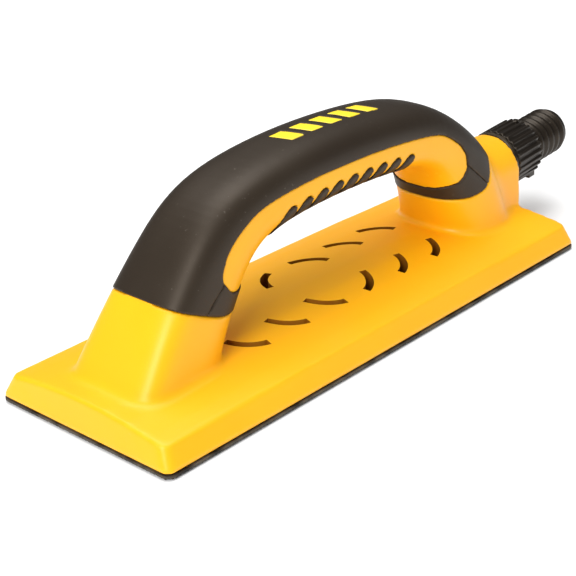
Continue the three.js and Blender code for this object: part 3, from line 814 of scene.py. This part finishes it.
# %% Suction collar
COLLAR_START, COLLAR_END = 2.8, 19.6
RIBS = 26
RIB_MIDDLE = (11.2 * MM, 0, 11.9 * MM)
RIB_SIZE = (16.4 * MM, 1.5 * MM, 1.3 * MM)
collar = turned("suction_collar_shell", [
    (COLLAR_START, 10.9), (COLLAR_START, 11.9), (3.1, 12.1), (19.2, 11.6), (COLLAR_END, 11.3),
    (COLLAR_END, 10.9)])
ribs = []
for number in range(RIBS):
    angle = 2 * math.pi * number / RIBS
    start()
    bpy.ops.mesh.primitive_cube_add(size=1, location=RIB_MIDDLE)
    bpy.ops.transform.resize(value=RIB_SIZE)
    rib = keep("rib")
    edit(rib)
    pick("edges", lambda edge: min(v.co.z for v in edge.verts) > 12 * MM
         and abs(edge.verts[0].co.x - edge.verts[1].co.x) > 5 * MM)
    bpy.ops.mesh.bevel(offset=0.5 * MM, segments=3)
    bpy.ops.mesh.select_all(action="SELECT")
    bpy.ops.transform.rotate(value=angle, orient_axis="X", center_override=(0, 0, 0))
    start()
    ribs.append(rib)
collar = joined([collar, *ribs,
                 local_box("lug", (15.2, -8.6, -10.9), (COLLAR_END, -4.4, -7.8)),
                 local_box("tooth", (17.4, -2, -13), (COLLAR_END, 1.6, -11)),
                 local_box("pointer", (16.4, -1.2, 11.2), (18.8, 1.2, 12.9))], "suction_collar_shell")
cut(collar, local_box("window", (10.6, -3.5, -20), (15, 3.5, 0)))
soften(collar, 0.27, 1)
modify(collar, "DECIMATE", ratio=0.6)
place_on_axis(collar)
finish_piece(collar, "collar", "black_plastic", "regulator_collar")

# %% Swivelling spigot
SPIGOT_END, SPIGOT_RADIUS, RIDGE = 44, 9.1, 0.9
RIDGES, RIDGE_PITCH = 5, 4
SHOULDER = COLLAR_END + 0.8
ridge_start = SPIGOT_END - 2 - RIDGES * RIDGE_PITCH
profile = [(3, 5.6), (3, 7.3), (SHOULDER, 7.3), (SHOULDER, 8.8), (SHOULDER + 0.3, SPIGOT_RADIUS)]
for number in range(RIDGES):
    begin = ridge_start + RIDGE_PITCH * number
    profile += [(begin + 0.3 + 3.3 * step / 8, SPIGOT_RADIUS + RIDGE * math.sin(math.pi * step / 8) ** 1.4)
                for step in range(9)]
round_end = [(SPIGOT_END - 1.6 + 1.6 * math.sin(a), SPIGOT_RADIUS - 1.6 + 1.6 * math.cos(a))
             for a in (0.2, 0.6, 1.0, 1.4, math.pi / 2)]
profile += [*round_end, (SPIGOT_END, 6.6), (SPIGOT_END - 0.6, 6), (SHOULDER, 6), (SHOULDER - 1, 5.6)]
spigot = turned("hose_spigot_tube", profile)
cut(spigot, turned("clip_groove", [(5.3, 6.7), (5.3, 10), (6.7, 10), (6.7, 6.7)], 48))
place_on_axis(spigot)
start()
spigot.select_set(True)
bpy.context.view_layer.objects.active = spigot
bpy.ops.object.shade_smooth_by_angle(angle=math.radians(35))
finish_piece(spigot, "spigot", "black_plastic", "hose_spigot")

# %% [markdown]
# ## Finishes
# Two effects are shared by all the materials, so they are node groups. The first is the fine spark
# texture of a mould, as bump height and a slight change of gloss. The second is handling: edges that
# have been rubbed brighter, and faint dust in patches. Each material gives them its own values.

# %% Node helpers
def new_group(name, inputs, outputs):
    group = bpy.data.node_groups.new(name, "ShaderNodeTree")
    for label, kind, value in inputs:
        socket = group.interface.new_socket(label, in_out="INPUT", socket_type=kind)
        socket.default_value = value
    for label, kind in outputs:
        group.interface.new_socket(label, in_out="OUTPUT", socket_type=kind)
    return group, group.nodes.new("NodeGroupInput"), group.nodes.new("NodeGroupOutput")


def add(tree, kind, **settings):
    node = tree.nodes.new(kind)
    for setting, value in settings.items():
        setattr(node, setting, value)
    return node


def number(tree, operation, first_value, second_value=None, clamp=False):
    """A Math node whose inputs are numbers or sockets."""
    node = add(tree, "ShaderNodeMath", operation=operation, use_clamp=clamp)
    for socket, value in zip(node.inputs, (first_value, second_value)):
        if isinstance(value, bpy.types.NodeSocket):
            tree.links.new(value, socket)
        elif value is not None:
            socket.default_value = value
    return node.outputs[0]


def spread(tree, value, low, high, to_low=0.0, to_high=1.0):
    node = add(tree, "ShaderNodeMapRange")
    tree.links.new(value, node.inputs["Value"])
    for label, setting in (("From Min", low), ("From Max", high), ("To Min", to_low), ("To Max", to_high)):
        node.inputs[label].default_value = setting
    return node.outputs["Result"]


def noise(tree, place, scale, detail=2.0):
    node = add(tree, "ShaderNodeTexNoise")
    node.inputs["Detail"].default_value = detail
    tree.links.new(place, node.inputs["Vector"])
    if isinstance(scale, bpy.types.NodeSocket):
        tree.links.new(scale, node.inputs["Scale"])
    else:
        node.inputs["Scale"].default_value = scale
    return node.outputs["Fac"]


def mixed(tree, share, first_colour, second_colour, blend="MIX"):
    node = add(tree, "ShaderNodeMix", data_type="RGBA", blend_type=blend)
    colour_sockets = ((node.inputs[6], first_colour), (node.inputs[7], second_colour))
    for socket, value in ((node.inputs[0], share), *colour_sockets):
        if isinstance(value, bpy.types.NodeSocket):
            tree.links.new(value, socket)
        else:
            socket.default_value = value
    return node.outputs[2]


# %% Mould texture group
mould_grain, entry, outcome = new_group(
    "mould_grain", [("Place", "NodeSocketVector", (0, 0, 0)), ("Scale", "NodeSocketFloat", 2500.0)],
    [("Height", "NodeSocketFloat"), ("Gloss", "NodeSocketFloat")])
fine = noise(mould_grain, entry.outputs["Place"], entry.outputs["Scale"], 3)
coarse_scale = number(mould_grain, "MULTIPLY", entry.outputs["Scale"], 0.23)
coarse = noise(mould_grain, entry.outputs["Place"], coarse_scale, 2)
fine_share = number(mould_grain, "MULTIPLY", fine, 0.7)
height = number(mould_grain, "ADD", fine_share, number(mould_grain, "MULTIPLY", coarse, 0.3))
mould_grain.links.new(height, outcome.inputs["Height"])
patches = noise(mould_grain, entry.outputs["Place"], 55, 4)
mould_grain.links.new(spread(mould_grain, patches, 0.3, 0.7, -1, 1), outcome.inputs["Gloss"])

# %% Handling group
handling, entry, outcome = new_group(
    "handling", [("Place", "NodeSocketVector", (0, 0, 0)), ("Dust scale", "NodeSocketFloat", 900.0)],
    [("Edges", "NodeSocketFloat"), ("Dust", "NodeSocketFloat"), ("Tone", "NodeSocketFloat")])
geometry = add(handling, "ShaderNodeNewGeometry")
rubbed = spread(handling, geometry.outputs["Pointiness"], 0.515, 0.56)
broken = spread(handling, noise(handling, entry.outputs["Place"], 160, 4), 0.35, 0.6)
handling.links.new(number(handling, "MULTIPLY", rubbed, broken, clamp=True), outcome.inputs["Edges"])
specks = spread(handling, noise(handling, entry.outputs["Place"], entry.outputs["Dust scale"], 1), 0.72, 0.8)
where = spread(handling, noise(handling, entry.outputs["Place"], 40, 3), 0.45, 0.7)
handling.links.new(number(handling, "MULTIPLY", specks, where, clamp=True), outcome.inputs["Dust"])
handling.links.new(noise(handling, entry.outputs["Place"], 22, 3), outcome.inputs["Tone"])


# %% One builder for moulded finishes
def moulded(name, colour, shade, edge_colour, dust_colour, roughness, grain_scale, grain_depth,
            edge_share=0.5, dust_share=0.35, specular=0.5, tint=(1, 1, 1, 1), subsurface=0.0):
    material = bpy.data.materials.new(name)
    material.use_nodes = True
    tree = material.node_tree
    shader = tree.nodes["Principled BSDF"]
    place = add(tree, "ShaderNodeTexCoord").outputs["Object"]
    grain = add(tree, "ShaderNodeGroup", node_tree=mould_grain)
    use = add(tree, "ShaderNodeGroup", node_tree=handling)
    for group in (grain, use):
        tree.links.new(place, group.inputs["Place"])
    grain.inputs["Scale"].default_value = grain_scale
    tone = spread(tree, use.outputs["Tone"], 0.3, 0.7)
    body_colour = mixed(tree, tone, colour, shade)
    edged = mixed(tree, number(tree, "MULTIPLY", use.outputs["Edges"], edge_share), body_colour, edge_colour)
    dusty = mixed(tree, number(tree, "MULTIPLY", use.outputs["Dust"], dust_share), edged, dust_colour)
    tree.links.new(dusty, shader.inputs["Base Color"])
    gloss = number(tree, "MULTIPLY_ADD", grain.outputs["Gloss"], 0.04)
    gloss.node.inputs[2].default_value = roughness
    rough = number(tree, "ADD", gloss, number(tree, "MULTIPLY", use.outputs["Dust"], 0.25), clamp=True)
    tree.links.new(rough, shader.inputs["Roughness"])
    bump = add(tree, "ShaderNodeBump")
    bump.inputs["Strength"].default_value = 1.0
    bump.inputs["Distance"].default_value = grain_depth * MM
    tree.links.new(grain.outputs["Height"], bump.inputs["Height"])
    tree.links.new(bump.outputs["Normal"], shader.inputs["Normal"])
    shader.inputs["Specular IOR Level"].default_value = specular
    shader.inputs["Specular Tint"].default_value = tint
    shader.inputs["Subsurface Weight"].default_value = subsurface
    shader.inputs["Subsurface Radius"].default_value = (1, 0.4, 0.1)
    shader.inputs["Subsurface Scale"].default_value = 2 * MM
    return material


yellow = moulded("yellow_plastic", (0.96, 0.46, 0.003, 1), (0.95, 0.435, 0.0025, 1), (1, 0.62, 0.05, 1),
                 (0.8, 0.6, 0.3, 1), 0.4, 2600, 0.012, edge_share=0.35, dust_share=0.1, specular=0.5,
                 tint=(1, 0.9, 0.7, 1), subsurface=0.05)
# The slot walls' dark brown is painted shade: the dim inside of the deep air slots, painted on the yellow.
slot_wall = moulded("slot_wall", (0.34, 0.115, 0.004, 1), (0.24, 0.08, 0.003, 1), (0.4, 0.16, 0.01, 1),
                    (0.3, 0.2, 0.1, 1), 0.6, 1800, 0.03, specular=0.2)
rubber = moulded("grip_rubber", (0.021, 0.0145, 0.0095, 1), (0.026, 0.0185, 0.012, 1), (0.06, 0.05, 0.04, 1),
                 (0.35, 0.31, 0.26, 1), 0.48, 1900, 0.03, edge_share=0.4, dust_share=0.25, specular=0.4,
                 tint=(1, 0.86, 0.72, 1))
black = moulded("black_plastic", (0.008, 0.0058, 0.004, 1), (0.011, 0.008, 0.0055, 1),
                (0.07, 0.055, 0.038, 1), (0.3, 0.27, 0.2, 1), 0.36, 2300, 0.015, edge_share=0.6,
                dust_share=0.2, specular=0.4, tint=(1, 0.86, 0.72, 1))
grey = moulded("grey_plastic", (0.02, 0.02, 0.02, 1), (0.028, 0.028, 0.027, 1), (0.1, 0.1, 0.095, 1),
               (0.3, 0.29, 0.26, 1), 0.5, 2000, 0.02, dust_share=0.1, specular=0.2)
seal = moulded("seal_rubber", (0.018, 0.018, 0.019, 1), (0.026, 0.026, 0.026, 1), (0.08, 0.08, 0.08, 1),
               (0.3, 0.3, 0.3, 1), 0.62, 1500, 0.03)
hook = moulded("hook_fabric", (0.008, 0.0065, 0.005, 1), (0.014, 0.0115, 0.009, 1), (0.12, 0.1, 0.075, 1),
               (0.4, 0.34, 0.26, 1), 0.6, 1400, 0.08, edge_share=0.7, dust_share=0.6, specular=0.2)
inlay_yellow = moulded("inlay_yellow", (0.98, 0.72, 0.02, 1), (0.94, 0.66, 0.015, 1), (1, 0.85, 0.2, 1),
                       (0.8, 0.6, 0.3, 1), 0.42, 2600, 0.012, dust_share=0.15)
steel = moulded("steel", (0.55, 0.55, 0.56, 1), (0.48, 0.48, 0.5, 1), (0.8, 0.8, 0.8, 1),
                (0.4, 0.38, 0.35, 1), 0.3, 3000, 0.01)
steel.node_tree.nodes["Principled BSDF"].inputs["Metallic"].default_value = 1

# %% Give each piece its finish
def paint(piece, material):
    piece.data.materials.clear()
    piece.data.materials.append(material)


def painted_shade_wall(face):
    """True for the upright walls of the air slots, which are painted darker brown as shade."""
    middle = face.calc_center_median()
    return abs(face.normal.z) < 0.3 and near_slot(middle.x / MM, middle.y / MM, 0.2)


for piece in (base, yellow_shell):
    paint(piece, yellow)
# The upright walls of the air slots get the dark brown of painted shade.
base.data.materials.append(slot_wall)
edit(base)
slot_shade_faces = pick("faces", painted_shade_wall)
base.active_material_index = 1
bpy.ops.object.material_slot_assign()
start()
print("slot wall faces:", slot_shade_faces)
for piece in (palm, band, top):
    paint(piece, rubber)
for piece in (sleeve, collar, spigot):
    paint(piece, black)
paint(sheet, hook)
for piece in bpy.data.objects:
    if piece.name.startswith("inlay_bar"):
        paint(piece, inlay_yellow)
finishes = {"backing_plate": grey, "plate_seal": seal, "collar_seal": seal, "handle_upper_shell": black,
            "spigot_bush": grey, "spigot_clip": steel}
finishes.update({name: steel for name in nodes if name.startswith("plate_screw")})
for name, material in finishes.items():
    for place in nodes[name].material_slots:
        place.material = material

# %% [markdown]
# ## Floor, light and camera
# The block stands on a plain white sheet under soft light, as in a catalogue. A softbox before the front
# end gives the leg its bright ridge, and a larger one overhead lights the crowned top. The white
# surroundings fill the shadows. They are dimmer in reflections, as if flagged off with dark cards, so
# that the plastics keep their deep colours at a low angle.

# %% Floor and world
start()
bpy.ops.mesh.primitive_plane_add(size=6, location=(0, 0, -0.0002))
floor = keep("floor")
white = bpy.data.materials.new("floor_white")
white.use_nodes = True
white.node_tree.nodes["Principled BSDF"].inputs["Base Color"].default_value = (0.92, 0.92, 0.92, 1)
white.node_tree.nodes["Principled BSDF"].inputs["Roughness"].default_value = 0.9
paint(floor, white)

world = bpy.data.worlds.new("studio")
bpy.context.scene.world = world
world.use_nodes = True
world.node_tree.nodes["Background"].inputs["Color"].default_value = (1, 1, 1, 1)
SURROUNDINGS, REFLECTED = 0.52, 0.14
ray_kind = add(world.node_tree, "ShaderNodeLightPath")
change = REFLECTED - SURROUNDINGS
strength = number(world.node_tree, "MULTIPLY_ADD", ray_kind.outputs["Is Glossy Ray"], change)
strength.node.inputs[2].default_value = SURROUNDINGS
world.node_tree.links.new(strength, world.node_tree.nodes["Background"].inputs["Strength"])
bpy.context.scene.view_settings.view_transform = "Standard"

# %% Camera
AZIMUTH, ELEVATION, ROLL = math.radians(-48.09), math.radians(24.82), math.radians(-1.16)
DISTANCE, LENS = 524.7, 89.1
AIM = at(-4.3, 10.3, 8.05)
level = math.cos(ELEVATION)
backwards = Vector((level * math.sin(AZIMUTH), -level * math.cos(AZIMUTH), math.sin(ELEVATION)))
camera_data = bpy.data.cameras.new("camera")
camera = bpy.data.objects.new("camera", camera_data)
bpy.context.scene.collection.objects.link(camera)
camera.location = AIM + backwards * DISTANCE * MM
turn = backwards.to_track_quat("Z", "Y").to_matrix().to_4x4() @ Matrix.Rotation(ROLL, 4, "Z")
camera.matrix_world = Matrix.Translation(camera.location) @ turn
camera_data.lens = LENS
camera_data.clip_start = 0.01
bpy.context.scene.camera = camera
print("camera axes:", [[round(v, 4) for v in camera.matrix_world.col[i][:3]] for i in range(3)])


# %% Lights
def softbox(name, place, size, power):
    lamp = bpy.data.lights.new(name, "AREA")
    lamp.shape = "RECTANGLE"
    lamp.size, lamp.size_y = size
    lamp.energy = power
    light = bpy.data.objects.new(name, lamp)
    bpy.context.scene.collection.objects.link(light)
    light.location = place
    light.rotation_euler = (Vector((0, 0, 0.03)) - Vector(place)).to_track_quat("-Z", "Y").to_euler()


softbox("key", (-0.95, -0.35, 0.72), (0.5, 0.7), 10.5)
softbox("top", (0.1, 0.2, 1.2), (1.0, 1.0), 12.5)

# %% Leave edit mode with nothing selected
start()
